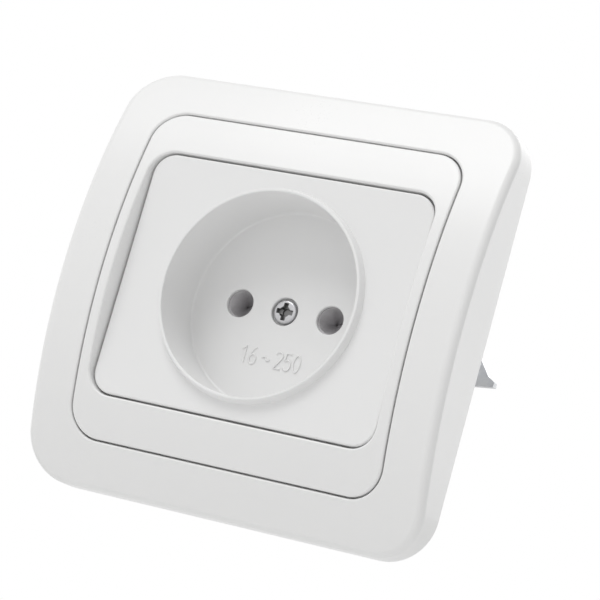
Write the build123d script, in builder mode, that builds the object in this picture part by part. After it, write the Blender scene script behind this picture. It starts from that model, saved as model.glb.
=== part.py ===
from build123d import *
from math import atan2, cos, degrees, radians, sin, sqrt, tan
import os

# Flush wall socket, sizes in mm. X is right, Y goes into the wall, Z is up.
# The wall plane is y = 0 and the face looks along -Y.

# Cover frame
frame_border = 8.95
frame_corner = 9.0
frame_wall = 2.0
arch_radius = 98.0
arch_peak = 13.5
frame_edge_round = 1.4
ledge_front = 6.0
ledge_thickness = 1.5
ledge_width = 1.6
collar_wall = 1.7

# Insert set into the frame
insert_border = 2.85
insert_corner = 6.0
joint_gap = 0.3
groove_round = 0.35
plate_border_x = 9.8
plate_border_z = 4.15
plate_corner = 4.3
plate_gap = 0.2
window_taper = 6.0
lip_front = 8.0
lip_side_width = 2.0
well_clear = 0.5

# Centre plate with the plug well
plate_front = 10.2
well_radius = 19.4
well_depth = 11.0
rim_height = 1.6
rim_width = 0.6
rim_slope = 0.5
rim_round = 0.25
well_floor_round = 0.5
well_draft = 0.8
well_wall = 2.0
well_floor = 2.0
pin_spacing = 19.0
pin_hole_radius = 2.7
pin_edge_round = 0.25
pin_land = 0.8
seat_radius = 2.7
seat_depth = 1.2

# Centre screw and its nut
screw_radius = 1.5
screw_clear = 0.2
screw_head_radius = 2.35
screw_head_height = 1.15
screw_head_round = 0.5
screw_length = 20.0
screw_point = 1.0
screw_point_angle = 25.0
nut_side = 5.5
nut_height = 2.4
nut_clear = 0.1
thread_fit = 0.02
screw_past_nut = 2.1
recess_length = 3.4
recess_width = 0.95
recess_depth = 0.95
recess_middle = 1.1
recess_point = 0.3
recess_angle = 20.0

# Support plate
support_border = 2.95
support_corner = 5.0
support_thickness = 1.0
support_chamfer = 0.2
box_screw_spacing = 60.0
box_slot_width = 4.2
box_slot_length = 9.0
rivet_radius = 1.2
rivet_head_radius = 1.9
rivet_head_height = 0.5
rivet_head_angle = 25.0

# Socket base
base_wall = 2.6
flange_width = 4.3
flange_flat = 0.5
flange_thickness = 3.0
base_depth = 27.0
base_edge_round = 0.6
front_recess_depth = 4.0
ramp_inset = 1.5
ramp_drop = 8.0
channel_half_width = 6.6
chamber_radius = 4.3
chamber_depth = 21.0
bay_inner_x = 4.8
bay_outer_x = 14.2
bay_floor_z = 8.0
bay_front = 6.5
base_screw_clear = 0.3
web_clear = 0.3
tab_clear = 0.2

# Contacts, clamps and terminal screws
sleeve_radius = 2.75
sleeve_wall = 0.7
sleeve_gap = 0.2
sleeve_clear = 0.3
sleeve_rear = 18.5
sleeve_slit = 1.0
web_front = 8.0
web_rear = 11.5
web_root = 0.3
tab_z = 11.0
tab_thickness = 1.0
tab_half_width = 3.8
tab_rear = 19.5
spring_thickness = 0.5
spring_front = 13.0
spring_length = 3.2
spring_fit = 0.02
spring_slit_more = 0.6
terminal_y = 15.6
terminal_radius = 1.7
terminal_clear = 0.1
terminal_head_radius = 3.1
terminal_head_height = 1.9
terminal_head_round = 0.4
terminal_shank = 4.0
slot_wide = 0.8
slot_deep = 1.0
clamp_thickness = 1.0
clamp_half_width = 3.5
clamp_corner = 0.6

# Spreading claws and their screws
claw_screw_out = 3.7
claw_screw_radius = 1.75
claw_screw_length = 17.5
claw_head_radius = 3.4
claw_head_height = 1.9
claw_head_round = 0.6
claw_hole_clear = 0.1
claw_sheet = 1.2
claw_half_width = 5.6
claw_gap = 0.3
claw_front = 12.5
claw_rear = 24.0
claw_tab_reach = 3.8
claw_tip_reach = 5.75
claw_tip_y = 28.0
claw_tip_z = -1.7
claw_tip_height = 0.85
claw_kink_back = 1.5
claw_kink_rise = 0.9
claw_tooth_reach = -0.5
claw_tooth_cut = 3.0
claw_tip_slant = 0.2
claw_rear_step = 1.4
claw_front_step = 1.3
claw_barb_drop = 1.8
claw_barb_back = 1.5
claw_cut_over = 1.0
claw_slot_radius = 2.05
claw_slot_clear = 0.2
claw_travel = 8.0

# Derived values
pin_x = pin_spacing / 2
floor_front_y = well_depth - plate_front
seat_y = floor_front_y + seat_depth
land_rear_y = floor_front_y + pin_land
sleeve_front = land_rear_y + sleeve_gap
nut_front = seat_y + screw_length - screw_past_nut - nut_height
plate_thickness = plate_front - lip_front
well_outer = well_radius + well_wall
rim_front = plate_front + rim_height
rim_foot_radius = well_radius + rim_width + rim_slope
rim_angle = degrees(atan2(rim_slope, rim_height))
floor_radius = well_radius - (well_depth + rim_height) * tan(radians(well_draft))
plate_half_x = well_radius + plate_border_x
plate_half_z = well_radius + plate_border_z
lip_half_x = plate_half_x - lip_side_width
lip_half_z = well_outer + well_clear
insert_half = plate_half_x + insert_border
frame_half = insert_half + frame_border
support_half = insert_half + support_border
support_hole_radius = well_outer + well_clear
body_radius = support_hole_radius + base_wall
base_radius = body_radius + flange_width
flange_half_z = body_radius + flange_flat
rivet_circle = body_radius + flange_width / 2
ramp_front_x = body_radius - ramp_inset
ramp_rear_x = ramp_front_x - ramp_drop
claw_screw_x = body_radius + claw_screw_out
claw_tab_x = claw_screw_x + claw_tab_reach
claw_tip_x = claw_screw_x + claw_tip_reach
claw_tooth_x = claw_screw_x + claw_tooth_reach
ramp_length_y = base_depth - flange_thickness
ramp_angle = degrees(atan2(ramp_front_x - ramp_rear_x, ramp_length_y))


def facing(depth):
    """Plane that looks along -Y at the given depth behind the wall plane."""
    return Plane(origin=(0, depth, 0), x_dir=(1, 0, 0), z_dir=(0, -1, 0))


def backing(depth):
    """Plane that looks along +Y at the given depth behind the wall plane."""
    return Plane(origin=(0, depth, 0), x_dir=(-1, 0, 0), z_dir=(0, 1, 0))


def near(first, second):
    """Whether two measures agree to a hundredth of a millimetre."""
    return abs(first - second) < 0.01


os.makedirs("parts", exist_ok=True)

# Arched bodies that cut the frame and the insert to the face
with BuildPart() as arch_solid:
    with BuildSketch(Plane.YZ):
        with Locations((arch_radius - arch_peak, 0)):
            Circle(arch_radius)
    extrude(amount=2 * frame_half, both=True)

with BuildPart() as arch_inside:
    with BuildSketch(Plane.YZ):
        with Locations((arch_radius - arch_peak, 0)):
            Circle(arch_radius - frame_wall)
    extrude(amount=2 * frame_half, both=True)

# Cover frame
with BuildPart() as frame_pocket:
    with BuildSketch(facing(0)):
        RectangleRounded(2 * (frame_half - frame_wall), 2 * (frame_half - frame_wall),
                         frame_corner - frame_wall)
        collar = insert_half + joint_gap + collar_wall
        RectangleRounded(2 * collar, 2 * collar, insert_corner + joint_gap + collar_wall,
                         mode=Mode.SUBTRACT)
    extrude(amount=2 * arch_peak)
    add(arch_inside.part, mode=Mode.INTERSECT)

with BuildPart() as cover_frame:
    with BuildSketch(facing(0)):
        RectangleRounded(2 * frame_half, 2 * frame_half, frame_corner)
    extrude(amount=2 * arch_peak)
    add(arch_solid.part, mode=Mode.INTERSECT)
    front_edges = cover_frame.faces().sort_by(Axis.Y)[0].edges()
    fillet(front_edges, frame_edge_round)
    add(frame_pocket.part, mode=Mode.SUBTRACT)
    with BuildSketch(facing(-ledge_front)):
        opening = insert_half + joint_gap
        RectangleRounded(2 * opening, 2 * opening, insert_corner + joint_gap)
    extrude(amount=arch_peak, mode=Mode.SUBTRACT)
    with BuildSketch(facing(0)):
        inner = insert_half + joint_gap - ledge_width
        RectangleRounded(2 * inner, 2 * inner, insert_corner + joint_gap - ledge_width)
    extrude(amount=arch_peak, mode=Mode.SUBTRACT)
    with BuildSketch(facing(0)):
        RectangleRounded(2 * collar, 2 * collar, insert_corner + joint_gap + collar_wall)
    extrude(amount=ledge_front - ledge_thickness, mode=Mode.SUBTRACT)
    arch_face = cover_frame.faces().sort_by(Axis.Y)[0]
    fillet(arch_face.inner_wires()[0].edges(), groove_round)
cover_frame.part.label = "cover_frame"
export_step(cover_frame.part, "parts/cover_frame.step")

# Frame insert
with BuildPart() as frame_insert:
    with BuildSketch(facing(-ledge_front)):
        RectangleRounded(2 * insert_half, 2 * insert_half, insert_corner)
    extrude(amount=arch_peak)
    add(arch_solid.part, mode=Mode.INTERSECT)
    with BuildSketch(facing(-ledge_front)):
        RectangleRounded(2 * lip_half_x, 2 * lip_half_z, plate_corner)
    extrude(amount=arch_peak, mode=Mode.SUBTRACT)
    with BuildSketch(facing(-lip_front)):
        RectangleRounded(2 * (plate_half_x + plate_gap), 2 * (plate_half_z + plate_gap),
                         plate_corner + plate_gap)
    extrude(amount=arch_peak, taper=-window_taper, mode=Mode.SUBTRACT)
    arch_face = frame_insert.faces().sort_by(Axis.Y)[0]
    fillet(arch_face.edges(), groove_round)
frame_insert.part.label = "frame_insert"
export_step(frame_insert.part, "parts/frame_insert.step")

# Centre plate with the plug well
with BuildPart() as centre_plate:
    with BuildSketch(facing(-lip_front)):
        RectangleRounded(2 * plate_half_x, 2 * plate_half_z, plate_corner)
    extrude(amount=plate_thickness)
    fillet(centre_plate.faces().sort_by(Axis.Y)[0].edges(), groove_round)
    with BuildSketch(facing(floor_front_y + well_floor)):
        Circle(well_outer)
    extrude(amount=well_floor + well_depth - plate_thickness / 2)
    with BuildSketch(facing(-plate_front)):
        Circle(rim_foot_radius)
    extrude(amount=rim_height, taper=rim_angle)
    with BuildSketch(Plane.XY):
        with BuildLine():
            Polyline((0, -rim_front), (well_radius, -rim_front), (floor_radius, floor_front_y),
                     (0, floor_front_y), close=True)
        make_face()
    revolve(axis=Axis.Y, mode=Mode.SUBTRACT)
    well_rings = centre_plate.edges().filter_by(GeomType.CIRCLE)
    rim_edges = [e for e in well_rings if near(e.center().Y, -rim_front)]
    fillet(rim_edges, rim_round)
    well_rings = centre_plate.edges().filter_by(GeomType.CIRCLE)
    foot = [e for e in well_rings if near(e.center().Y, floor_front_y)
            and near(e.radius, floor_radius)]
    fillet(foot, well_floor_round)
    with BuildSketch(facing(floor_front_y + well_floor)):
        with Locations((pin_x, 0), (-pin_x, 0)):
            Circle(pin_hole_radius)
        Circle(screw_radius + screw_clear)
    extrude(amount=well_floor, mode=Mode.SUBTRACT)
    with BuildSketch(backing(land_rear_y)):
        with Locations((pin_x, 0), (-pin_x, 0)):
            Circle(sleeve_radius + sleeve_wall + sleeve_clear)
    extrude(amount=well_floor, mode=Mode.SUBTRACT)
    with BuildSketch(facing(seat_y)):
        Circle(seat_radius)
    extrude(amount=seat_depth, mode=Mode.SUBTRACT)
    rims = [e for e in centre_plate.edges().filter_by(GeomType.CIRCLE)
            if near(e.center().Y, floor_front_y) and e.radius < floor_radius / 2]
    fillet(rims, pin_edge_round)
centre_plate.part.label = "centre_plate"
export_step(centre_plate.part, "parts/centre_plate.step")

# Centre screw with a cross recess
head_y = seat_y - screw_head_height
with BuildPart() as centre_screw:
    with BuildSketch(facing(seat_y)):
        Circle(screw_head_radius)
    extrude(amount=screw_head_height)
    fillet(centre_screw.faces().sort_by(Axis.Y)[0].edges(), screw_head_round)
    with BuildSketch(backing(seat_y)):
        Circle(screw_radius)
    extrude(amount=screw_length - screw_point)
    with BuildSketch(backing(seat_y + screw_length - screw_point)):
        Circle(screw_radius)
    extrude(amount=screw_point, taper=screw_point_angle)
    with BuildSketch(facing(head_y + recess_depth)):
        Rectangle(recess_length, recess_width)
        Rectangle(recess_width, recess_length)
    extrude(amount=2 * recess_depth, mode=Mode.SUBTRACT)
    with BuildSketch(facing(head_y)):
        Circle(recess_middle)
    extrude(amount=-recess_depth - recess_point, taper=recess_angle, mode=Mode.SUBTRACT)
centre_screw.part.label = "centre_screw"
export_step(centre_screw.part, "parts/centre_screw.step")

# Square nut of the centre screw
with BuildPart() as centre_nut:
    with BuildSketch(backing(nut_front)):
        Rectangle(nut_side, nut_side)
        Circle(screw_radius + thread_fit, mode=Mode.SUBTRACT)
    extrude(amount=nut_height)
centre_nut.part.label = "centre_nut"
export_step(centre_nut.part, "parts/centre_nut.step")

# Support plate
rivet_at = rivet_circle * sqrt(0.5)
with BuildPart() as support_plate:
    with BuildSketch(facing(0)):
        RectangleRounded(2 * support_half, 2 * support_half, support_corner)
        Circle(support_hole_radius, mode=Mode.SUBTRACT)
        with Locations((0, box_screw_spacing / 2), (0, -box_screw_spacing / 2)):
            SlotOverall(box_slot_length, box_slot_width, rotation=90, mode=Mode.SUBTRACT)
        with Locations((claw_screw_x, 0), (-claw_screw_x, 0)):
            Circle(claw_screw_radius + claw_hole_clear, mode=Mode.SUBTRACT)
        with GridLocations(2 * rivet_at, 2 * rivet_at, 2, 2):
            Circle(rivet_radius, mode=Mode.SUBTRACT)
    extrude(amount=support_thickness)
    rim = [e for e in support_plate.edges().filter_by(GeomType.CIRCLE)
           if near(e.radius, support_hole_radius)]
    chamfer(rim, support_chamfer)
support_plate.part.label = "support_plate"
export_step(support_plate.part, "parts/support_plate.step")

# Rivets that hold the base to the support plate
with BuildPart() as base_rivets:
    with BuildSketch(facing(flange_thickness)):
        with GridLocations(2 * rivet_at, 2 * rivet_at, 2, 2):
            Circle(rivet_radius)
    extrude(amount=flange_thickness + support_thickness)
    with BuildSketch(facing(-support_thickness)):
        with GridLocations(2 * rivet_at, 2 * rivet_at, 2, 2):
            Circle(rivet_head_radius)
    extrude(amount=rivet_head_height, taper=rivet_head_angle)
    with BuildSketch(backing(flange_thickness)):
        with GridLocations(2 * rivet_at, 2 * rivet_at, 2, 2):
            Circle(rivet_head_radius)
    extrude(amount=rivet_head_height, taper=rivet_head_angle)
base_rivets.part.label = "base_rivets"
export_step(base_rivets.part, "parts/base_rivets.step")

# Socket base
ramp_far_x = ramp_front_x + body_radius
with BuildPart() as socket_base:
    with BuildSketch(backing(0)):
        Circle(base_radius)
        Rectangle(2 * base_radius, 2 * flange_half_z, mode=Mode.INTERSECT)
    extrude(amount=flange_thickness)
    with BuildSketch(backing(flange_thickness)):
        Circle(body_radius)
    extrude(amount=base_depth - flange_thickness)
    with BuildSketch(backing(0)):
        Circle(support_hole_radius)
    extrude(amount=front_recess_depth, mode=Mode.SUBTRACT)
    with BuildSketch(Plane.XY):
        with BuildLine():
            Polyline((ramp_front_x, flange_thickness), (ramp_rear_x, base_depth),
                     (ramp_far_x, base_depth), (ramp_far_x, flange_thickness), close=True)
        make_face()
        mirror(about=Plane.YZ)
    extrude(amount=channel_half_width, both=True, mode=Mode.SUBTRACT)
    with BuildSketch(backing(0)):
        with Locations((claw_screw_x, 0), (-claw_screw_x, 0)):
            Circle(claw_head_radius)
    extrude(amount=flange_thickness, mode=Mode.SUBTRACT)
    with BuildSketch(backing(front_recess_depth)):
        with Locations((pin_x, 0), (-pin_x, 0)):
            Circle(chamber_radius)
    extrude(amount=chamber_depth - front_recess_depth, mode=Mode.SUBTRACT)
    bay_width = bay_outer_x - bay_inner_x
    bay_centre = (bay_outer_x + bay_inner_x) / 2
    bay_height = 2 * body_radius - bay_floor_z
    with BuildSketch(backing(bay_front)):
        with Locations((bay_centre, bay_floor_z + bay_height / 2),
                       (-bay_centre, bay_floor_z + bay_height / 2)):
            Rectangle(bay_width, bay_height)
    extrude(amount=base_depth, mode=Mode.SUBTRACT)
    with BuildSketch(backing(web_front - web_clear)):
        with Locations((pin_x, bay_floor_z / 2), (-pin_x, bay_floor_z / 2)):
            Rectangle(2 * (tab_half_width + tab_clear), bay_floor_z + 2 * tab_clear)
    extrude(amount=web_rear - web_front + 2 * web_clear, mode=Mode.SUBTRACT)
    with BuildSketch(backing(0)):
        Circle(screw_radius + base_screw_clear)
    extrude(amount=base_depth, mode=Mode.SUBTRACT)
    with BuildSketch(backing(nut_front)):
        Rectangle(nut_side + 2 * nut_clear, nut_side + 2 * nut_clear)
    extrude(amount=base_depth, mode=Mode.SUBTRACT)
    with BuildSketch(backing(0)):
        with GridLocations(2 * rivet_at, 2 * rivet_at, 2, 2):
            Circle(rivet_radius)
    extrude(amount=flange_thickness, mode=Mode.SUBTRACT)
    fillet(socket_base.faces().sort_by(Axis.Y)[-1].outer_wire().edges(), base_edge_round)
socket_base.part.label = "socket_base"
export_step(socket_base.part, "parts/socket_base.step")


def contact_at(side):
    """Sleeve for one pin with a web and a terminal tab, side is -1 or 1."""
    centre = side * pin_x
    with BuildPart() as contact:
        with BuildSketch(Plane(origin=(centre, sleeve_front, 0), x_dir=(1, 0, 0), z_dir=(0, 1, 0))):
            Circle(sleeve_radius + sleeve_wall)
            Circle(sleeve_radius, mode=Mode.SUBTRACT)
            with Locations((0, sleeve_radius)):
                Rectangle(sleeve_slit, 2 * sleeve_radius, mode=Mode.SUBTRACT)
        extrude(amount=sleeve_rear - sleeve_front)
        with BuildSketch(Plane(origin=(centre, web_front, 0), x_dir=(1, 0, 0), z_dir=(0, -1, 0))):
            low = sleeve_radius + web_root
            with Locations((0, (low + tab_z) / 2)):
                Rectangle(2 * tab_half_width, tab_z - low)
        extrude(amount=-tab_thickness)
        with BuildSketch(Plane(origin=(centre, 0, tab_z - tab_thickness), x_dir=(1, 0, 0),
                               z_dir=(0, 0, 1))):
            with Locations((0, (web_front + tab_rear) / 2)):
                Rectangle(2 * tab_half_width, tab_rear - web_front)
            with Locations((0, terminal_y)):
                Circle(terminal_radius + terminal_clear, mode=Mode.SUBTRACT)
        extrude(amount=tab_thickness)
    return contact.part


def spring_at(side):
    """Spring ring round the sleeve, open at the same side as the slit."""
    with BuildPart() as ring:
        with BuildSketch(Plane(origin=(side * pin_x, spring_front, 0), x_dir=(1, 0, 0),
                               z_dir=(0, 1, 0))):
            Circle(sleeve_radius + sleeve_wall + spring_thickness)
            Circle(sleeve_radius + sleeve_wall + spring_fit, mode=Mode.SUBTRACT)
            with Locations((0, sleeve_radius)):
                Rectangle(sleeve_slit + spring_slit_more, 3 * sleeve_radius, mode=Mode.SUBTRACT)
        extrude(amount=spring_length)
    return ring.part


def clamp_at(side):
    """Wire clamp plate between the terminal screw head and the tab."""
    with BuildPart() as clamp:
        with BuildSketch(Plane(origin=(side * pin_x, terminal_y, tab_z), x_dir=(1, 0, 0),
                               z_dir=(0, 0, 1))):
            RectangleRounded(2 * clamp_half_width, 2 * clamp_half_width, clamp_corner)
            Circle(terminal_radius + terminal_clear, mode=Mode.SUBTRACT)
        extrude(amount=clamp_thickness)
    return clamp.part


def terminal_screw_at(side):
    """Terminal screw along Z with a slotted head."""
    foot = tab_z + clamp_thickness
    origin = (side * pin_x, terminal_y, foot)
    with BuildPart() as screw:
        with BuildSketch(Plane(origin=origin, x_dir=(1, 0, 0), z_dir=(0, 0, 1))):
            Circle(terminal_head_radius)
        extrude(amount=terminal_head_height)
        fillet(screw.faces().sort_by(Axis.Z)[-1].edges(), terminal_head_round)
        with BuildSketch(Plane(origin=origin, x_dir=(1, 0, 0), z_dir=(0, 0, -1))):
            Circle(terminal_radius)
        extrude(amount=terminal_shank)
        top = (side * pin_x, terminal_y, foot + terminal_head_height)
        with BuildSketch(Plane(origin=top, x_dir=(1, 0, 0), z_dir=(0, 0, -1))):
            Rectangle(slot_wide, 3 * terminal_head_radius)
        extrude(amount=slot_deep, mode=Mode.SUBTRACT)
    return screw.part


# Spreading claw of the right side: the back lies along the ramp, the front tab takes the screw,
# the rear end is bent outward and ends in one tooth.
def ramp_x(depth):
    """Ramp surface of the base at a depth."""
    return ramp_front_x - (depth - flange_thickness) * (ramp_front_x - ramp_rear_x) / ramp_length_y


offset_x = claw_gap / cos(radians(ramp_angle))
travel_out = claw_travel * sin(radians(ramp_angle))
claw_root_x = ramp_front_x - claw_gap
fold_y = claw_front + claw_sheet
bend_y = claw_rear - claw_sheet
over_z = claw_half_width + claw_cut_over
upper_z = claw_tip_z + claw_tip_height
past_tip = -2 * claw_tip_x
with BuildPart() as claw_right:
    with BuildSketch(Plane.XY):
        with BuildLine():
            Polyline((claw_tab_x, claw_front), (ramp_x(claw_front) + offset_x, claw_front),
                     (ramp_x(claw_rear) + offset_x, claw_rear), (claw_tip_x, claw_tip_y),
                     (claw_tip_x - claw_tip_slant, claw_tip_y - claw_sheet),
                     (ramp_x(bend_y) + offset_x + claw_rear_step, bend_y),
                     (ramp_x(fold_y) + offset_x + claw_front_step, fold_y),
                     (claw_tab_x, fold_y), close=True)
        make_face()
    extrude(amount=claw_half_width, both=True)
    with BuildSketch(backing(claw_rear - claw_tooth_cut)):
        with BuildLine():
            Polyline((past_tip, claw_tip_z), (-claw_tip_x, claw_tip_z),
                     (-claw_root_x, claw_tip_z - claw_barb_drop),
                     (claw_barb_back - claw_root_x, -over_z), (past_tip, -over_z), close=True)
        make_face()
        with BuildLine():
            Polyline((-claw_tip_x, upper_z), (claw_kink_back - claw_tip_x, upper_z + claw_kink_rise),
                     (-claw_tooth_x, over_z), (past_tip, over_z), (past_tip, upper_z), close=True)
        make_face()
    extrude(amount=claw_rear, mode=Mode.SUBTRACT)
    with BuildSketch(facing(fold_y + claw_sheet)):
        with Locations((claw_screw_x - travel_out / 2, 0)):
            SlotOverall(travel_out + 2 * (claw_slot_radius + claw_slot_clear), 2 * claw_slot_radius)
    extrude(amount=3 * claw_sheet, mode=Mode.SUBTRACT)
claw_right.part.label = "claw_right"
export_step(claw_right.part, "parts/claw_right.step")

claw_left = claw_right.part.rotate(Axis.Y, 180)
claw_left.label = "claw_left"
export_step(claw_left, "parts/claw_left.step")


def claw_screw_at(side):
    """Long claw screw along Y, its head in front of the support plate."""
    seat = -support_thickness
    with BuildPart() as screw:
        with BuildSketch(Plane(origin=(side * claw_screw_x, seat, 0), x_dir=(1, 0, 0),
                               z_dir=(0, -1, 0))):
            Circle(claw_head_radius)
        extrude(amount=claw_head_height)
        fillet(screw.faces().sort_by(Axis.Y)[0].edges(), claw_head_round)
        with BuildSketch(Plane(origin=(side * claw_screw_x, seat, 0), x_dir=(1, 0, 0),
                               z_dir=(0, 1, 0))):
            Circle(claw_screw_radius)
        extrude(amount=claw_screw_length)
        with BuildSketch(Plane(origin=(side * claw_screw_x, seat - claw_head_height, 0),
                               x_dir=(1, 0, 0), z_dir=(0, 1, 0))):
            Rectangle(slot_wide, 3 * claw_head_radius)
        extrude(amount=slot_deep, mode=Mode.SUBTRACT)
    return screw.part


for word, side in (("left", -1), ("right", 1)):
    contact = contact_at(side)
    contact.label = "contact_" + word
    export_step(contact, "parts/contact_" + word + ".step")
    spring = spring_at(side)
    spring.label = "contact_spring_" + word
    export_step(spring, "parts/contact_spring_" + word + ".step")
    clamp = clamp_at(side)
    clamp.label = "clamp_plate_" + word
    export_step(clamp, "parts/clamp_plate_" + word + ".step")
    screw = terminal_screw_at(side)
    screw.label = "terminal_screw_" + word
    export_step(screw, "parts/terminal_screw_" + word + ".step")
    long_screw = claw_screw_at(side)
    long_screw.label = "claw_screw_" + word
    export_step(long_screw, "parts/claw_screw_" + word + ".step")
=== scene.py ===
"""Dresses the flush wall socket: finishes, small moulded detail, threads and a pale studio."""
import logging
import math
from dataclasses import dataclass, field
from enum import Enum

import bmesh
import bpy
from mathutils import Matrix, Vector


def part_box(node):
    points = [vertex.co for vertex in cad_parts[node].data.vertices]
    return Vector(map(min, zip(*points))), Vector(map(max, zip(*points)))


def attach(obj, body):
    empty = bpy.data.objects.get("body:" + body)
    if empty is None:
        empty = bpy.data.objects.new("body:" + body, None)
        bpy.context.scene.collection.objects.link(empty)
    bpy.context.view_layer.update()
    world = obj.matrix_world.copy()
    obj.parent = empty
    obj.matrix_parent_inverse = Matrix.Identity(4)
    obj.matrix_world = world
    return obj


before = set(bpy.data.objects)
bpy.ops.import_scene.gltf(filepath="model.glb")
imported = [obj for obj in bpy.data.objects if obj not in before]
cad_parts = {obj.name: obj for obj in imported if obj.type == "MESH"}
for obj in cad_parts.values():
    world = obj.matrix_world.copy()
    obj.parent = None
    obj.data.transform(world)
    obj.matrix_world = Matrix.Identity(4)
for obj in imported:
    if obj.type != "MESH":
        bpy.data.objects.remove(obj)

log = logging.getLogger("wall_socket")

# A millimetre in metres
MM = 0.001
# Corners closer than this, in metres, are one
WELD = 1e-7
# Degrees in a circle
FULL_TURN = 360.0
# Value that a noise pattern swings about
NOISE_MIDDLE = 0.5
# The Mix node's two colour inputs and its colour output
MIX_FIRST = 6
MIX_SECOND = 7
MIX_RESULT = 2
WHITE = (1.0, 1.0, 1.0, 1.0)
BLACK = (0.0, 0.0, 0.0, 1.0)

Colour = tuple[float, float, float, float]
Triple = tuple[float, float, float]
Dot = tuple[float, float]


class Side(Enum):
    """Left or right of the socket, seen from the front."""

    LEFT = -1
    RIGHT = 1

    @property
    def word(self) -> str:
        """Word used in the names of pieces."""
        return self.name.lower()


@dataclass(frozen=True)
class NodeBox:
    """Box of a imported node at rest, which the scene's own pieces are placed by."""

    low: Vector
    high: Vector

    @classmethod
    def of(cls, name: str) -> "NodeBox":
        """Reads the box of one node from the frame."""
        return cls(*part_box(name))

    @property
    def middle(self) -> Vector:
        """Middle of the box."""
        return (self.low + self.high) / 2.0


class MathWord(Enum):
    """Operations of the Math node that the finishes use."""

    ADD = "ADD"
    SUBTRACT = "SUBTRACT"
    MULTIPLY = "MULTIPLY"


class Value:
    """A shader socket that takes part in Python expressions."""

    def __init__(self, bench: "Bench", socket: bpy.types.NodeSocket) -> None:
        """Keeps the bench that owns the nodes and the wrapped socket."""
        self.bench = bench
        self.socket = socket

    def _join(self, word: MathWord, left: object, right: object) -> "Value":
        """Adds one Math node on two operands, each a Value or a number, and hands back its result."""
        return self.bench.node("ShaderNodeMath", {"operation": word.value}, {0: left, 1: right})

    def __add__(self, other: object) -> "Value":
        """Sum of two values."""
        return self._join(MathWord.ADD, self, other)

    __radd__ = __add__

    def __sub__(self, other: object) -> "Value":
        """Difference of two values."""
        return self._join(MathWord.SUBTRACT, self, other)

    def __rsub__(self, other: object) -> "Value":
        """Difference with the number on the left."""
        return self._join(MathWord.SUBTRACT, other, self)

    def __mul__(self, other: object) -> "Value":
        """Product of two values."""
        return self._join(MathWord.MULTIPLY, self, other)

    __rmul__ = __mul__

    def twin(self, out: object) -> "Value":
        """Another output of the same node, by name or number."""
        return Value(self.bench, self.socket.node.outputs[out])


@dataclass(frozen=True)
class Grain:
    """A noise pattern: how fine it is per metre, its octaves and the weight of the finer ones."""

    scale: float
    detail: float = 3.0
    rough: float = 0.55


@dataclass(frozen=True)
class Relief:
    """A bump: its weight and the height of a full step in metres."""

    strength: float
    height: float


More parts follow.
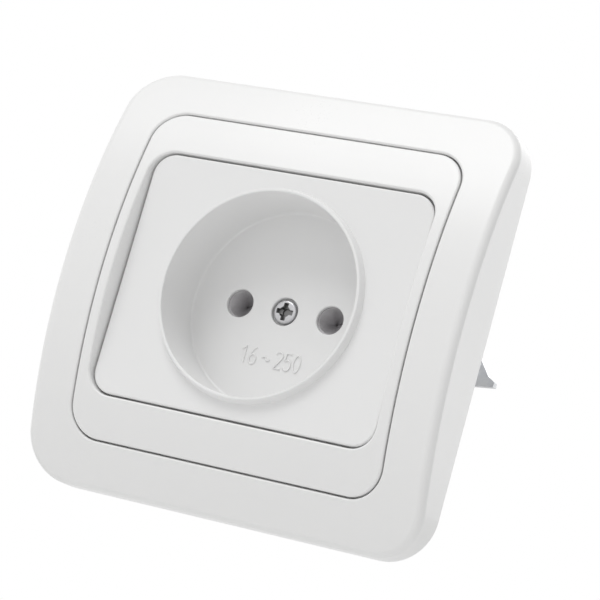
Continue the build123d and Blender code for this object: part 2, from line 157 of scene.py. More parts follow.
class Bench:
    """The node tree of a material or a world, built up by expressions."""

    def __init__(self, owner: bpy.types.ID, output: str) -> None:
        """Empties the tree and adds its output node.

        Args:
            owner: material or world that holds the nodes.
            output: Blender's type name of the output node.
        """
        owner.use_nodes = True
        self.tree = owner.node_tree
        self.tree.nodes.clear()
        self.output = self.tree.nodes.new(output)

    def feed(self, node: bpy.types.Node, key: object, value: object) -> None:
        """Sets one socket of a node or links a value into it.

        Args:
            node: node that takes the value.
            key: name or number of its input.
            value: a Value, a number, a colour or a vector.
        """
        socket = node.inputs[key]
        if isinstance(value, Value):
            self.tree.links.new(value.socket, socket)
        else:
            socket.default_value = value

    def show(self, surface: Value) -> None:
        """Links a shader to the output."""
        self.feed(self.output, "Surface", surface)

    def node(self, kind: str, settings: dict, sockets: dict, out: object = 0) -> Value:
        """Adds any node.

        Args:
            kind: Blender's type name of the node.
            settings: properties set first; "stops" holds a ramp's stops.
            sockets: values or links of the inputs.
            out: name or number of the output that is handed back.

        Returns:
            That output.
        """
        made = self.tree.nodes.new(kind)
        for key, value in settings.items():
            if key == "stops":
                self._ramp(made.color_ramp, value)
            else:
                setattr(made, key, value)
        for key, value in sockets.items():
            self.feed(made, key, value)
        return Value(self, made.outputs[out])

    @staticmethod
    def _ramp(ramp: bpy.types.ColorRamp, stops: list[tuple[float, Colour]]) -> None:
        """Sets a colour ramp's stops.

        Args:
            ramp: ramp of the node.
            stops: pairs of place and colour, at least two.
        """
        while len(ramp.elements) < len(stops):
            ramp.elements.new(1.0)
        for element, (place, colour) in zip(ramp.elements, stops):
            element.position = place
            element.color = colour

    def place(self, scale: Triple = (1.0, 1.0, 1.0)) -> Value:
        """Object coordinates, stretched along the three axes."""
        where = self.node("ShaderNodeTexCoord", {}, {}, "Object")
        return self.node("ShaderNodeMapping", {}, {"Vector": where, "Scale": scale})

    def length(self, where: Value) -> Value:
        """Distance of a place from the origin."""
        return self.node("ShaderNodeVectorMath", {"operation": "LENGTH"}, {0: where}, "Value")

    def noise(self, where: Value, grain: Grain) -> Value:
        """A noise pattern between 0 and 1 on the given coordinates."""
        sockets = {"Vector": where, "Scale": grain.scale, "Detail": grain.detail, "Roughness": grain.rough}
        return self.node("ShaderNodeTexNoise", {}, sockets, "Fac")

    def red(self, colour: Value) -> Value:
        """First channel of a colour."""
        return self.node("ShaderNodeSeparateColor", {}, {"Color": colour}, "Red")

    def mix(self, factor: object, first: object, second: object) -> Value:
        """Blends two colours, the first one at a factor of 0 and the second one at 1."""
        sockets = {"Factor": factor, MIX_FIRST: first, MIX_SECOND: second}
        return self.node("ShaderNodeMix", {"data_type": "RGBA"}, sockets, MIX_RESULT)

    def fade(self, value: Value, start: float, end: float) -> Value:
        """Rises softly from 0 to 1 while a value goes from start to end."""
        sockets = {"Value": value, "From Min": start, "From Max": end}
        return self.node("ShaderNodeMapRange", {"interpolation_type": "SMOOTHSTEP"}, sockets)

    def bump(self, height: Value, relief: Relief, under: Value | None = None) -> Value:
        """Turns a height into a normal.

        Args:
            height: pattern that raises the surface.
            relief: how much it does.
            under: a normal from another bump below this one.

        Returns:
            The bent normal.
        """
        sockets = {"Height": height, "Strength": relief.strength, "Distance": relief.height}
        if under is not None:
            sockets["Normal"] = under
        return self.node("ShaderNodeBump", {}, sockets, "Normal")

    def seen(self) -> Value:
        """1 or more where the camera, a mirror or glass looks, 0 for light on a dull surface."""
        camera = self.node("ShaderNodeLightPath", {}, {}, "Is Camera Ray")
        return camera + camera.twin("Is Glossy Ray") + camera.twin("Is Transmission Ray")

    def principled(self, **sockets: object) -> Value:
        """Adds the main shader, its inputs given by name with _ for a space."""
        inputs = {key.replace("_", " "): value for key, value in sockets.items()}
        return self.node("ShaderNodeBsdfPrincipled", {}, inputs)


@dataclass(frozen=True)
class MouldedPlastic:
    """Injection moulded plastic with a soft, slightly uneven gloss."""

    name: str
    tone: Colour
    shade: Colour
    roughness: float = 0.30
    spread: float = 0.08
    index: float = 1.49
    cloud: Grain = Grain(38.0)
    flow: Grain = Grain(1.0, 4.0)
    flow_stretch: Triple = (30.0, 30.0, 190.0)
    flow_share: float = 0.4
    wave: Grain = Grain(420.0, 2.0)
    wave_relief: Relief = Relief(0.06, 0.04 * MM)
    skin: Grain = Grain(2600.0, 2.0, 0.6)
    skin_relief: Relief = Relief(0.16, 0.012 * MM)

    def build(self) -> bpy.types.Material:
        """Makes the material.

        Returns:
            The material for one kind of moulding.
        """
        material = bpy.data.materials.new(self.name)
        bench = Bench(material, "ShaderNodeOutputMaterial")
        where = bench.place()
        cloud = bench.noise(where, self.cloud)
        skin = bench.noise(where, self.skin)
        flow = bench.noise(bench.place(self.flow_stretch), self.flow)
        tint = bench.mix(cloud * (1.0 - self.flow_share) + flow * self.flow_share, self.tone, self.shade)
        rough = self.roughness + (cloud - NOISE_MIDDLE) * self.spread + (skin - NOISE_MIDDLE) * self.spread
        wave = bench.bump(bench.noise(where, self.wave), self.wave_relief)
        normal = bench.bump(skin, self.skin_relief, wave)
        bench.show(bench.principled(Base_Color=tint, Roughness=rough, Normal=normal, IOR=self.index))
        return material


class GrainWay(Enum):
    """Direction in which rolled metal is drawn out."""

    ALONG_X = (4.0, 120.0, 120.0)
    ALONG_Y = (120.0, 4.0, 120.0)
    ALONG_Z = (120.0, 120.0, 4.0)


@dataclass(frozen=True)
class PlatedMetal:
    """Sheet or turned metal with a plated, faintly mottled skin."""

    name: str
    tone: Colour
    shade: Colour
    stain: Colour
    way: GrainWay
    roughness: float = 0.34
    spread: float = 0.16
    drawn: Grain = Grain(90.0, 4.0, 0.65)
    drawn_relief: Relief = Relief(0.18, 0.02 * MM)
    cloud: Grain = Grain(160.0, 4.0)
    cloud_relief: Relief = Relief(0.08, 0.05 * MM)
    spangle: float = 900.0
    spangle_share: float = 0.5
    worn_from: float = 0.52
    worn_to: float = 0.74
    stain_share: float = 0.35
    stain_rough: float = 0.10

    def build(self) -> bpy.types.Material:
        """Makes the material.

        Returns:
            The material for one kind of metal.
        """
        material = bpy.data.materials.new(self.name)
        bench = Bench(material, "ShaderNodeOutputMaterial")
        where = bench.place()
        drawn = bench.noise(bench.place(self.way.value), self.drawn)
        cloud = bench.noise(where, self.cloud)
        cells = bench.node("ShaderNodeTexVoronoi", {"feature": "F1"},
                           {"Vector": where, "Scale": self.spangle}, "Color")
        mottle = bench.red(cells) * self.spangle_share + drawn * (1.0 - self.spangle_share)
        stops = [(self.worn_from, BLACK), (self.worn_to, WHITE)]
        worn = bench.red(bench.node("ShaderNodeValToRGB", {"stops": stops}, {"Fac": cloud}, "Color"))
        clean = bench.mix(mottle, self.tone, self.shade)
        # Screws paint shade into their cross recess here; other metals keep their colour
        tint = self._add_recess_shade(bench, bench.mix(worn * self.stain_share, clean, self.stain))
        rough = self.roughness + (drawn - NOISE_MIDDLE) * self.spread + worn * self.stain_rough
        lines = bench.bump(drawn, self.drawn_relief)
        normal = bench.bump(cloud, self.cloud_relief, lines)
        bench.show(bench.principled(Base_Color=tint, Metallic=1.0, Roughness=rough, Normal=normal))
        return material

    def _add_recess_shade(self, bench: Bench, tint: Value) -> Value:
        """Leaves the metal's colour as it is, with no painted recess shade."""
        return tint


@dataclass(frozen=True)
class DrivenScrew(PlatedMetal):
    """Plated screw along Y whose cross recess has painted shade inside, darker with depth."""

    head_y: float = 0.0
    recess_reach: float = 1.75 * MM
    recess_edge: float = 0.08 * MM
    dark_from: float = 0.10 * MM
    dark_to: float = 0.70 * MM
    # Colour of the painted shade deep in the cross recess
    recess_shade: Colour = (0.19, 0.19, 0.19, 1.0)

    def _add_recess_shade(self, bench: Bench, tint: Value) -> Value:
        """Paints shade on the metal inside the recess, darker the deeper it lies.

        Args:
            bench: material that is being made.
            tint: colour of the metal.

        Returns:
            The colour with the painted shade in its recess.
        """
        reach = bench.length(bench.place((1.0, 0.0, 1.0)))
        inside = 1.0 - bench.fade(reach, self.recess_reach, self.recess_reach + self.recess_edge)
        depth = bench.node("ShaderNodeSeparateXYZ", {}, {"Vector": bench.place()}, "Y")
        deep = bench.fade(depth, self.head_y + self.dark_from, self.head_y + self.dark_to)
        # Painted shade: inside the recess the metal is blended towards a dark grey, more the deeper it lies
        return bench.mix(inside * deep, tint, self.recess_shade)


class Finishes:
    """All finishes of the socket, made once."""

    def __init__(self) -> None:
        """Builds each material."""
        self.cover = MouldedPlastic("cover_white", (0.868, 0.868, 0.862, 1.0),
                                    (0.846, 0.846, 0.842, 1.0)).build()
        self.plate = MouldedPlastic("plate_white", (0.860, 0.860, 0.856, 1.0), (0.838, 0.838, 0.836, 1.0),
                                    roughness=0.34).build()
        self.base = MouldedPlastic("base_moulding", (0.60, 0.60, 0.575, 1.0), (0.54, 0.54, 0.515, 1.0),
                                   roughness=0.50, spread=0.14, skin=Grain(1500.0, 2.0, 0.6),
                                   skin_relief=Relief(0.16, 0.04 * MM)).build()
        zinc = ((0.72, 0.73, 0.74, 1.0), (0.61, 0.62, 0.64, 1.0), (0.47, 0.46, 0.43, 1.0))
        self.zinc_sheet = PlatedMetal("zinc_sheet", *zinc, GrainWay.ALONG_X).build()
        self.zinc_screw = PlatedMetal("zinc_screw", *zinc, GrainWay.ALONG_Y, roughness=0.28,
                                      spangle=2600.0).build()
        grey = ((0.60, 0.60, 0.61, 1.0), (0.50, 0.50, 0.52, 1.0), (0.38, 0.37, 0.35, 1.0))
        self.plate_screw = DrivenScrew("plate_screw", *grey, GrainWay.ALONG_X, roughness=0.30,
                                       spangle=2600.0, head_y=NodeBox.of("centre_screw").low.y).build()
        brass = ((0.66, 0.56, 0.33, 1.0), (0.58, 0.47, 0.25, 1.0), (0.34, 0.26, 0.14, 1.0))
        self.brass = PlatedMetal("contact_brass", *brass, GrainWay.ALONG_Y, roughness=0.30,
                                 spangle=1800.0).build()
        pale = ((0.42, 0.41, 0.42, 1.0), (0.36, 0.35, 0.36, 1.0), (0.27, 0.26, 0.26, 1.0))
        self.nickel = PlatedMetal("contact_nickel", *pale, GrainWay.ALONG_Y, roughness=0.52,
                                  spangle=1800.0).build()
        dark = ((0.34, 0.34, 0.36, 1.0), (0.27, 0.27, 0.29, 1.0), (0.18, 0.17, 0.17, 1.0))
        self.spring = PlatedMetal("spring_steel", *dark, GrainWay.ALONG_Z, roughness=0.36).build()


class SocketNodes:
    """Finishes of the carried-over solids."""

    def __init__(self, finishes: Finishes) -> None:
        """Keeps the finishes."""
        self.finishes = finishes

    def dress_all(self) -> None:
        """Gives every CAD node its finish."""
        use = self.finishes
        single = {
            "cover_frame": use.cover, "frame_insert": use.cover, "centre_plate": use.plate,
            "centre_screw": use.plate_screw, "centre_nut": use.zinc_screw, "support_plate": use.zinc_sheet,
            "base_rivets": use.brass, "socket_base": use.base,
        }
        paired = {
            "contact": use.brass, "contact_spring": use.spring, "clamp_plate": use.zinc_sheet,
            "terminal_screw": use.zinc_screw, "claw": use.zinc_sheet, "claw_screw": use.zinc_screw,
        }
        for name, material in single.items():
            self._dress(name, material)
        for name, material in paired.items():
            for side in Side:
                self._dress(name + "_" + side.word, material)

    @staticmethod
    def _dress(name: str, material: bpy.types.Material) -> None:
        """Gives one CAD node its finish.

        Args:
            name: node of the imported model.
            material: finish that takes every slot of the node.
        """
        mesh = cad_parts[name].data
        mesh.materials.clear()
        mesh.materials.append(material)
        log.info("dressed %s with %s", name, material.name)


def mesh_object(name: str, bm: bmesh.types.BMesh, finish: bpy.types.Material) -> bpy.types.Object:
    """Turns a shape into a linked object.

    Args:
        name: name of the piece.
        bm: shape, freed here.
        finish: material of the piece.

    Returns:
        The new object at the origin.
    """
    mesh = bpy.data.meshes.new(name)
    bm.to_mesh(mesh)
    bm.free()
    mesh.materials.append(finish)
    made = bpy.data.objects.new(name, mesh)
    bpy.context.scene.collection.objects.link(made)
    return made


def block(bm: bmesh.types.BMesh, low: Triple, high: Triple, soft: float) -> list[bmesh.types.BMVert]:
    """Adds a block between two corners, with softened edges.

    Args:
        bm: shape that takes the block.
        low: corner with the smallest coordinates.
        high: corner with the largest coordinates.
        soft: width of the bevel on all its edges.

    Returns:
        The block's vertices.
    """
    made = bmesh.ops.create_cube(bm, size=1.0)["verts"]
    size = [b - a for a, b in zip(low, high)]
    middle = [(a + b) / 2.0 for a, b in zip(low, high)]
    bmesh.ops.scale(bm, verts=made, vec=size)
    bmesh.ops.translate(bm, verts=made, vec=middle)
    edges = list(dict.fromkeys(edge for vert in made for edge in vert.link_edges))
    rim = bmesh.ops.bevel(bm, geom=edges, offset=soft, offset_type="OFFSET", segments=2, profile=0.5,
                          affect="EDGES", material=-1)
    return list(dict.fromkeys(vert for face in rim["faces"] for vert in face.verts))


@dataclass
class WellMarking:
    """Thin raised figures moulded on the floor of the plug well, drawn by plain strokes.

    The steps of an arc are in degrees.
    """

    finish: bpy.types.Material
    words: str = "16 ~ 250"
    height: float = 3.2 * MM
    pitch: float = 1.90 * MM
    space: float = 0.80 * MM
    stroke: float = 0.36 * MM
    stroke_steps: int = 2
    raised: float = 0.26 * MM
    floor_thick: float = 2.0 * MM
    centre_z: float = -9.3 * MM
    arc_step: float = 12.0
    arc_least: int = 6

    def build(self) -> list[bpy.types.Object]:
        """Makes the figures as one mesh, their foot sunk in the well's floor.

        Returns:
            The one piece.
        """
        bm = self._strokes()
        middle = (max(v.co.x for v in bm.verts) + min(v.co.x for v in bm.verts)) / 2.0
        bmesh.ops.translate(bm, verts=bm.verts, vec=(-middle, -self.height / 2.0, 0.0))
        upright = Matrix.Rotation(math.pi / 2.0, 3, "X")
        bmesh.ops.rotate(bm, verts=bm.verts, cent=(0.0, 0.0, 0.0), matrix=upright)
        floor_y = NodeBox.of("centre_plate").high.y - self.floor_thick
        depth = floor_y + self.stroke / 2.0 - self.raised
        bmesh.ops.translate(bm, verts=bm.verts, vec=(0.0, depth, self.centre_z))
        bmesh.ops.remove_doubles(bm, verts=bm.verts, dist=WELD)
        bmesh.ops.recalc_face_normals(bm, faces=bm.faces)
        for face in bm.faces:
            face.smooth = len(face.verts) == 4
            if not face.smooth:
                for edge in face.edges:
                    edge.smooth = False
        piece = mesh_object("well_figures", bm, self.finish)
        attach(piece, "socket")
        return [piece]

    def _strokes(self) -> bmesh.types.BMesh:
        """Draws the line of text flat, as round strokes with closed ends.

        Returns:
            The strokes, from the lower left corner of the text.
        """
        curve = bpy.data.curves.new("well_figures", "CURVE")
        curve.dimensions = "3D"
        curve.bevel_depth = self.stroke / 2.0
        curve.bevel_resolution = self.stroke_steps
        curve.use_fill_caps = True
        pen = 0.0
        for letter in self.words:
            for line in self._lines(letter):
                self._draw(curve, line, pen)
            pen += self.space if letter == " " else self.pitch
        source = bpy.data.objects.new("well_figures_source", curve)
        bpy.context.scene.collection.objects.link(source)
        bpy.context.view_layer.update()
        mesh = bpy.data.meshes.new_from_object(source)
        bpy.data.objects.remove(source)
        bm = bmesh.new()
        bm.from_mesh(mesh)
        bpy.data.meshes.remove(mesh)
        return bm

    def _draw(self, curve: bpy.types.Curve, line: list[Dot], pen: float) -> None:
        """Adds one stroke to the curve.

        Args:
            curve: curve that takes the stroke.
            line: points in figure heights, from the figure's lower left corner.
            pen: place of the figure along the line of text.
        """
        spline = curve.splines.new("POLY")
        ring = line[0] == line[-1]
        dots = line[:-1] if ring else line
        spline.use_cyclic_u = ring
        spline.points.add(len(dots) - 1)
        for point, (across, up) in zip(spline.points, dots):
            point.co = (pen + across * self.height, up * self.height, 0.0, 1.0)

    def _lines(self, letter: str) -> list[list[Dot]]:
        """Strokes of one figure, in figure heights.

        Args:
            letter: the figure, a tilde or a space.

        Returns:
            The points of each stroke.
        """
        bowl = self._arc((0.21, 0.29), (0.21, 0.29), 0.0, FULL_TURN)
        strokes = {
            "0": [self._arc((0.21, 0.5), (0.21, 0.5), 0.0, FULL_TURN)],
            "1": [[(0.06, 0.80), (0.28, 1.0), (0.28, 0.0)]],
            "2": [self._arc((0.21, 0.76), (0.21, 0.24), 165.0, -35.0) + [(0.0, 0.0), (0.44, 0.0)]],
            "5": [[(0.40, 1.0), (0.06, 1.0), (0.03, 0.54)]
                  + self._arc((0.20, 0.31), (0.22, 0.31), 130.0, -140.0)],
            "6": [bowl, self._arc((0.42, 0.29), (0.42, 0.71), 180.0, 100.0)],
            "~": [self._arc((0.11, 0.46), (0.12, 0.10), 180.0, 0.0)
                  + self._arc((0.35, 0.46), (0.12, 0.10), 180.0, FULL_TURN)[1:]],
        }
        return strokes.get(letter, [])

    def _arc(self, centre: Dot, axes: Dot, start: float, end: float) -> list[Dot]:
        """Points of an elliptic arc.

        Args:
            centre: its place along the text and above the text's foot.
            axes: half axes along the text and upwards.
            start: first angle in degrees.
            end: last angle in degrees.

        Returns:
            The points, the last one equal to the first on a full turn.
        """
        swept = end - start
        steps = max(self.arc_least, int(abs(swept) / self.arc_step))
        angles = [math.radians(start + swept * step / steps) for step in range(steps + 1)]
        dots = [(centre[0] + axes[0] * math.cos(turn), centre[1] + axes[1] * math.sin(turn))
                for turn in angles]
        if abs(swept) == FULL_TURN:
            dots[-1] = dots[0]
        return dots


@dataclass
class ScrewThread:
    """Helical ridge rolled on a plain screw shank, its section in shares of the pitch."""

    name: str
    body: str
    finish: bpy.types.Material
    foot: Vector
    axis: Vector
    length: float
    radius: float
    pitch: float
    ridge: float = 0.13 * MM
    sunk: float = 0.06 * MM
    root_share: float = 0.46
    crest_share: float = 0.10
    steps_a_turn: int = 24

    def build(self) -> bpy.types.Object:
        """Sweeps the ridge's section along a helix.

        Returns:
            The finished thread.
        """
        turns = self.length / self.pitch
        steps = int(round(turns * self.steps_a_turn))
        side = self.axis.orthogonal().normalized()
        root, crest = self.radius - self.sunk, self.radius + self.ridge
        section = ((root, -self.root_share), (crest, -self.crest_share),
                   (crest, self.crest_share), (root, self.root_share))
        bm = bmesh.new()
        ring = [bm.verts.new(self.foot + side * reach + self.axis * (share * self.pitch))
                for reach, share in section]
        start = bm.faces.new(ring)
        bmesh.ops.spin(bm, geom=[start, *start.edges, *ring], cent=self.foot, axis=self.axis,
                       dvec=self.axis * (self.length / steps), angle=2.0 * math.pi * turns,
                       steps=steps, use_merge=False, use_duplicate=False)
        bmesh.ops.remove_doubles(bm, verts=bm.verts, dist=WELD)
        bmesh.ops.recalc_face_normals(bm, faces=bm.faces)
        piece = mesh_object(self.name, bm, self.finish)
        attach(piece, self.body)
        return piece


@dataclass
class ScrewThreads:
    """Threads of the claw screws and the terminal screws, each up to the screw's bare tail."""

    finish: bpy.types.Material
    claw_tail: float = 0.3 * MM
    claw_length: float = 12.6 * MM
    claw_radius: float = 1.75 * MM
    claw_pitch: float = 0.6 * MM
    terminal_tail: float = 0.2 * MM
    terminal_length: float = 1.6 * MM
    terminal_radius: float = 1.70 * MM
    terminal_pitch: float = 0.7 * MM
    terminal_ridge: float = 0.08 * MM

    def build(self) -> list[bpy.types.Object]:
        """Makes all four threads.

        Returns:
            The threads, side by side.
        """
        threads = []
        for side in Side:
            threads.append(self._claw_thread(side))
            threads.append(self._terminal_thread(side))
        return threads

    def _claw_thread(self, side: Side) -> bpy.types.Object:
        """Makes the thread of one claw screw, which runs into the wall.

        Args:
            side: side of the screw.

        Returns:
            The finished thread.
        """
        screw = "claw_screw_" + side.word
        box = NodeBox.of(screw)
        foot = Vector((box.middle.x, box.high.y - self.claw_tail - self.claw_length, box.middle.z))
        return ScrewThread("claw_thread_" + side.word, screw, self.finish, foot, Vector((0.0, 1.0, 0.0)),
                           self.claw_length, self.claw_radius, self.claw_pitch).build()

    def _terminal_thread(self, side: Side) -> bpy.types.Object:
        """Makes the thread of one terminal screw, which runs down below its tab.

        Args:
            side: side of the screw.

        Returns:
            The finished thread.
        """
        screw = "terminal_screw_" + side.word
        box = NodeBox.of(screw)
        foot = Vector((box.middle.x, box.middle.y, box.low.z + self.terminal_tail + self.terminal_length))
        return ScrewThread("terminal_thread_" + side.word, screw, self.finish, foot, Vector((0.0, 0.0, -1.0)),
                           self.terminal_length, self.terminal_radius, self.terminal_pitch,
                           self.terminal_ridge).build()


@dataclass
class ContactFunnels:
    """Sprung funnel in the mouth of each contact sleeve, slit so that a pin spreads it.

    The outline runs from the funnel's lip inwards, as pairs of reach from the pin's axis and depth
    behind the sleeve's mouth, in millimetres.
    """

    finish: bpy.types.Material
    sheet: float = 0.10 * MM
    segments: int = 64
    outline: tuple[Dot, ...] = ((3.10, -0.04), (2.64, -0.04), (2.46, 0.08), (0.40, 2.30), (0.16, 2.90),
                                (0.40, 4.30), (1.90, 8.40))

    def build(self) -> list[bpy.types.Object]:
        """Makes both funnels and hands back the two pieces."""
        return [self._funnel(side) for side in Side]

    def _funnel(self, side: Side) -> bpy.types.Object:
        """Turns the outline about the pin's axis, slits it and gives it a wall.

        Args:
            side: pin hole that takes the funnel.

        Returns:
            The finished piece.
        """
        bm = bmesh.new()
        sleeve = NodeBox.of("contact_" + side.word)
        centre = Vector((sleeve.middle.x, sleeve.low.y, 0.0))
        dots = [bm.verts.new(centre + Vector((reach * MM, deep * MM, 0.0))) for reach, deep in self.outline]
        lines = [bm.edges.new(pair) for pair in zip(dots, dots[1:])]
        bmesh.ops.spin(bm, geom=dots + lines, cent=centre, axis=(0.0, 1.0, 0.0), angle=2.0 * math.pi,
                       steps=self.segments, use_merge=True, use_duplicate=False)
        bmesh.ops.remove_doubles(bm, verts=bm.verts, dist=WELD)
        slit = [face for face in bm.faces if self._is_slit(face.calc_center_median() - centre)]
        bmesh.ops.delete(bm, geom=slit, context="FACES")
        bmesh.ops.recalc_face_normals(bm, faces=bm.faces)
        bmesh.ops.solidify(bm, geom=bm.faces[:], thickness=self.sheet)
        bmesh.ops.recalc_face_normals(bm, faces=bm.faces)
        for face in bm.faces:
            face.smooth = True
        piece = mesh_object("contact_funnel_" + side.word, bm, self.finish)
        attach(piece, "socket")
        return piece

    def _is_slit(self, offset: Vector) -> bool:
        """Whether a face at this offset from the pin's axis lies in the slit, one face wide."""
        return 0.0 < math.atan2(offset.z, offset.x) < 2.0 * math.pi / self.segments


@dataclass
class FrameRibs:
    """Stiffening ribs in the hollow back of the cover frame, their places in millimetres."""

    finish: bpy.types.Material
    wall: float = 2.0 * MM
    collar_gap: float = 0.3 * MM
    collar: float = 1.7 * MM
    arch_radius: float = 98.0 * MM
    sunk: float = 0.1 * MM
    rear_inset: float = 1.6 * MM
    thick: float = 1.0 * MM
    soft: float = 0.2 * MM
    places: tuple[float, ...] = (-25.0, -12.5, 0.0, 12.5, 25.0)
    wall_reach: float = field(init=False)
    collar_reach: float = field(init=False)
    rear_y: float = field(init=False)
    arch_centre: float = field(init=False)
    arch_inside: float = field(init=False)

    def __post_init__(self) -> None:
        """Takes the ribs' ends from the frame and the insert, a little sunk in their walls."""
        cover = NodeBox.of("cover_frame")
        insert = NodeBox.of("frame_insert")
        self.wall_reach = cover.high.x - self.wall + self.sunk
        self.collar_reach = insert.high.x + self.collar_gap + self.collar - self.sunk
        self.rear_y = cover.high.y - self.rear_inset
        self.arch_centre = cover.low.y + self.arch_radius
        self.arch_inside = self.arch_radius - self.wall + self.sunk

    def build(self) -> list[bpy.types.Object]:
        """Makes all ribs as one mesh.

        Returns:
            The one piece.
        """
        bm = bmesh.new()
        for side in Side:
            for place in self.places:
                self._rib(bm, side, place * MM, upright=True)
                self._rib(bm, side, place * MM, upright=False)
        bmesh.ops.recalc_face_normals(bm, faces=bm.faces)
        piece = mesh_object("frame_ribs", bm, self.finish)
        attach(piece, "socket")
        return [piece]

    def _rib(self, bm: bmesh.types.BMesh, side: Side, place: float, upright: bool) -> None:
        """Adds one rib between the frame's wall and its collar, its front under the arch.

        Args:
            bm: shape that takes the rib.
            side: left or bottom, right or top.
            place: where the rib stands along that side.
            upright: True on the left and right sides, False at the top and the bottom.
        """
        near, far = sorted((side.value * self.collar_reach, side.value * self.wall_reach))
        low, high = place - self.thick / 2.0, place + self.thick / 2.0
        front = self.rear_y - self.thick
        if upright:
            verts = block(bm, (near, front, low), (far, self.rear_y, high), self.soft)
        else:
            verts = block(bm, (low, front, near), (high, self.rear_y, far), self.soft)
        for vert in verts:
            if vert.co.y < (front + self.rear_y) / 2.0:
                vert.co.y = self.arch_centre - math.sqrt(self.arch_inside ** 2 - vert.co.z ** 2)


@dataclass
class BaseDetail:
    """Moulded detail of the base: grip ribs, a strip gauge and ejector marks.

    Angles are in degrees from +X towards +Z, and the marks' places in millimetres.
    """

    finish: bpy.types.Material
    flange_flat: float = 0.5 * MM
    rib_front: float = 3.0 * MM
    rib_stop: float = 2.5 * MM
    rib_width: float = 1.4 * MM
    rib_height: float = 0.7 * MM
    rib_sunk: float = 0.3 * MM
    rib_soft: float = 0.3 * MM
    rib_angles: tuple[float, ...] = (-115.0, -102.5, -90.0, -77.5, -65.0)
    gauge_length: float = 11.0 * MM
    gauge_z: float = -12.5 * MM
    gauge_half: float = 0.45 * MM
    gauge_raised: float = 0.35 * MM
    gauge_sunk: float = 0.2 * MM
    gauge_soft: float = 0.12 * MM
    tick_half: float = 1.7 * MM
    tick_more: float = 0.10 * MM
    mark_radius: float = 1.7 * MM
    mark_taper: float = 0.12 * MM
    mark_depth: float = 0.36 * MM
    mark_sunk: float = 0.02 * MM
    mark_segments: int = 32
    marks: tuple[Dot, ...] = ((-15.5, -11.0), (15.5, -11.0), (-7.5, -19.0), (7.5, -19.0))
    body_radius: float = field(init=False)
    rear_y: float = field(init=False)

    def __post_init__(self) -> None:
        """Takes the round body's radius and its rear from the base."""
        base = NodeBox.of("socket_base")
        self.body_radius = base.high.z - self.flange_flat
        self.rear_y = base.high.y

    def build(self) -> list[bpy.types.Object]:
        """Makes the detail as one mesh.

        Returns:
            The one piece.
        """
        bm = bmesh.new()
        for angle in self.rib_angles:
            self._grip(bm, math.radians(angle))
        self._gauge(bm)
        for across, up in self.marks:
            self._mark(bm, across * MM, up * MM)
        bmesh.ops.recalc_face_normals(bm, faces=bm.faces)
        piece = mesh_object("base_detail", bm, self.finish)
        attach(piece, "socket")
        return [piece]

    def _grip(self, bm: bmesh.types.BMesh, angle: float) -> None:
        """Adds one rib along the round body.

        Args:
            bm: shape that takes the rib.
            angle: place round the body in radians.
        """
        half = self.rib_width / 2.0
        inside, outside = self.body_radius - self.rib_sunk, self.body_radius + self.rib_height
        rear = self.rear_y - self.rib_stop
        verts = block(bm, (inside, self.rib_front, -half), (outside, rear, half), self.rib_soft)
        bmesh.ops.rotate(bm, verts=verts, cent=(0.0, 0.0, 0.0), matrix=Matrix.Rotation(-angle, 3, "Y"))

    def _gauge(self, bm: bmesh.types.BMesh) -> None:
        """Adds the raised bar that shows how far a wire is stripped, with a tick at each end.

        Args:
            bm: shape that takes the bar.
        """
        half, bar, tick = self.gauge_length / 2.0, self.gauge_half, self.tick_half
        low, high = self.rear_y - self.gauge_sunk, self.rear_y + self.gauge_raised
        block(bm, (-half, low, self.gauge_z - bar), (half, high, self.gauge_z + bar), self.gauge_soft)
        high += self.tick_more
        for side in Side:
            middle = side.value * half
            block(bm, (middle - bar, low, self.gauge_z - tick), (middle + bar, high, self.gauge_z + tick),
                  self.gauge_soft)

    def _mark(self, bm: bmesh.types.BMesh, across: float, up: float) -> None:
        """Adds one round ejector mark.

        Args:
            bm: shape that takes the mark.
            across: its place along X.
            up: its place along Z.
        """
        verts = bmesh.ops.create_cone(bm, cap_ends=True, segments=self.mark_segments,
                                      radius1=self.mark_radius, radius2=self.mark_radius - self.mark_taper,
                                      depth=self.mark_depth)["verts"]
        to_rear = Matrix.Rotation(-math.pi / 2.0, 3, "X")
        bmesh.ops.rotate(bm, verts=verts, cent=(0.0, 0.0, 0.0), matrix=to_rear)
        bmesh.ops.translate(bm, verts=verts, vec=(across, self.rear_y - self.mark_sunk, up))


@dataclass(frozen=True)
class Lamp:
    """A square area lamp that looks at the object: its place and side in metres, its power in watts."""

    name: str
    place: Triple
    side: float
    power: float

    def build(self) -> None:
        """Adds the lamp to the scene."""
        data = bpy.data.lights.new(self.name, "AREA")
        data.shape = "SQUARE"
        data.size = self.side
        data.energy = self.power
        lamp = bpy.data.objects.new(self.name, data)
        lamp.location = self.place
        lamp.rotation_euler = (-Vector(self.place)).to_track_quat("-Z", "Y").to_euler()
        bpy.context.scene.collection.objects.link(lamp)


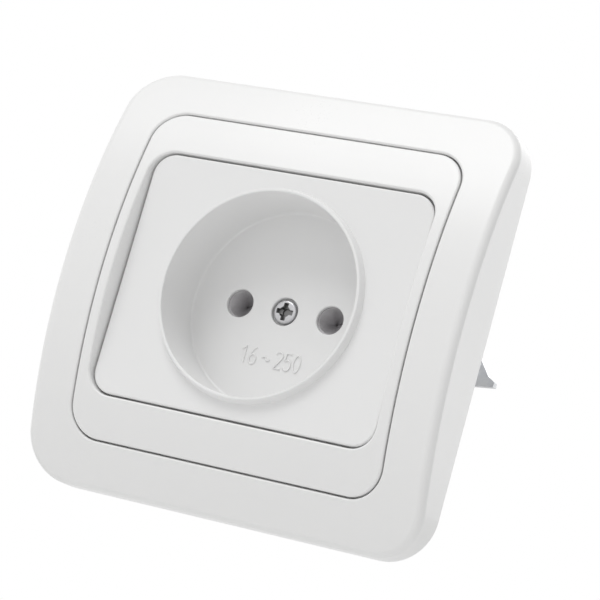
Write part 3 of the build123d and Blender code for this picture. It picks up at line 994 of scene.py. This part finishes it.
@dataclass
class Studio:
    """Pale floor, soft lamps and the camera at the photograph's angle, in metres."""

    floor_z: float = -0.09
    floor_half: float = 3.0
    floor_near: float = 0.20
    floor_far: float = 0.60
    floor_tone: Colour = (0.90, 0.90, 0.90, 1.0)
    floor_shade: Colour = (0.88, 0.88, 0.88, 1.0)
    floor_cloud: Grain = Grain(3.0, 2.0)
    floor_roughness: float = 0.75
    world_light: float = 0.57
    lens: float = 144.0
    sensor: float = 36.0
    clip_near: float = 0.01
    location: Triple = (0.199535, -0.391422, -0.075658)
    right: Triple = (0.88132, 0.38930, 0.26779)
    up: Triple = (-0.16714, -0.27325, 0.94731)
    back: Triple = (0.44197, -0.87965, -0.17576)
    lamps: tuple[Lamp, ...] = (
        Lamp("lamp_key", (-0.27, -0.62, 0.88), 0.6, 4.9),
        Lamp("lamp_behind", (0.20, 0.90, 0.45), 0.8, 2.0),
    )

    def build(self) -> None:
        """Sets the floor, the world, the lamps and the camera."""
        self._floor()
        self._world()
        for lamp in self.lamps:
            lamp.build()
        self._camera()
        bpy.context.scene.view_settings.view_transform = "Standard"

    def _floor(self) -> None:
        """Lays the pale floor, which ends in the white behind it."""
        bm = bmesh.new()
        bmesh.ops.create_grid(bm, x_segments=1, y_segments=1, size=self.floor_half)
        bmesh.ops.translate(bm, verts=bm.verts, vec=(0.0, 0.0, self.floor_z))
        material = bpy.data.materials.new("studio_floor")
        bench = Bench(material, "ShaderNodeOutputMaterial")
        where = bench.place()
        tint = bench.mix(bench.noise(where, self.floor_cloud), self.floor_tone, self.floor_shade)
        lit = bench.principled(Base_Color=tint, Roughness=self.floor_roughness)
        white = bench.node("ShaderNodeEmission", {}, {"Color": WHITE, "Strength": 1.0})
        far = bench.fade(bench.length(where), self.floor_near, self.floor_far)
        bench.show(bench.node("ShaderNodeMixShader", {}, {0: far * bench.seen(), 1: lit, 2: white}))
        mesh_object("studio_floor", bm, material)

    def _world(self) -> None:
        """White behind the object, a plain grey light on it."""
        world = bpy.data.worlds.new("studio")
        bpy.context.scene.world = world
        bench = Bench(world, "ShaderNodeOutputWorld")
        light = bench.node("ShaderNodeBackground", {}, {"Color": WHITE, "Strength": self.world_light})
        white = bench.node("ShaderNodeBackground", {}, {"Color": WHITE, "Strength": 1.0})
        bench.show(bench.node("ShaderNodeMixShader", {}, {0: bench.seen(), 1: light, 2: white}))

    def _camera(self) -> None:
        """Sets the camera at the photograph's place."""
        data = bpy.data.cameras.new("photo_camera")
        data.sensor_width = self.sensor
        data.lens = self.lens
        data.clip_start = self.clip_near
        camera = bpy.data.objects.new("photo_camera", data)
        axes = Matrix((self.right, self.up, self.back)).transposed()
        camera.matrix_world = Matrix.Translation(self.location) @ axes.to_4x4()
        bpy.context.scene.collection.objects.link(camera)
        bpy.context.scene.camera = camera


def main() -> None:
    """Builds the socket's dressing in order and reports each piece."""
    logging.basicConfig(level=logging.INFO, format="%(name)s: %(message)s")
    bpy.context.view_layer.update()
    finishes = Finishes()
    SocketNodes(finishes).dress_all()
    assemblies = (
        WellMarking(finishes.plate),
        ScrewThreads(finishes.zinc_screw),
        ContactFunnels(finishes.nickel),
        FrameRibs(finishes.cover),
        BaseDetail(finishes.base),
    )
    for assembly in assemblies:
        for piece in assembly.build():
            log.info("built %s", piece.name)
    Studio().build()


if __name__ == "__main__":
    main()
